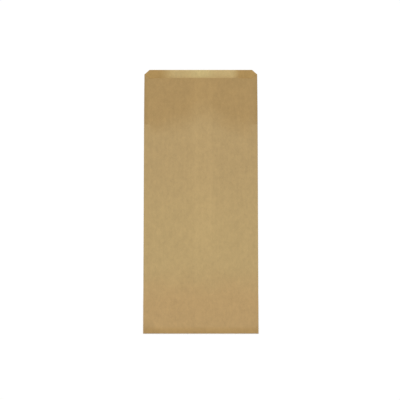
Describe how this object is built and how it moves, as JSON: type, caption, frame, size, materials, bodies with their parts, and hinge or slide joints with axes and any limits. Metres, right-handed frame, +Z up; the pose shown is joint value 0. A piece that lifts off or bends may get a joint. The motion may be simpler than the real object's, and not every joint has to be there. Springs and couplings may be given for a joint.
{
  "type": "flat paper bag",
  "caption": "Long flat kraft paper bag: one folded sheet with a glued back lap, a folded foot and a lipped mouth with slanted corners, to put goods in.",
  "frame": {"origin": "middle of the bag's footprint, on the surface that it lies on", "axes": "+X to the right across the bag, +Y along it from the bottom fold to the mouth, +Z up out of the front panel"},
  "size_m": [0.165, 0.382, 0.0069],
  "materials": {
    "kraft_paper": "matt brown kraft"
  },
  "bodies": {
    "root": {"bag": "kraft_paper"}
  },
  "joints": []
}
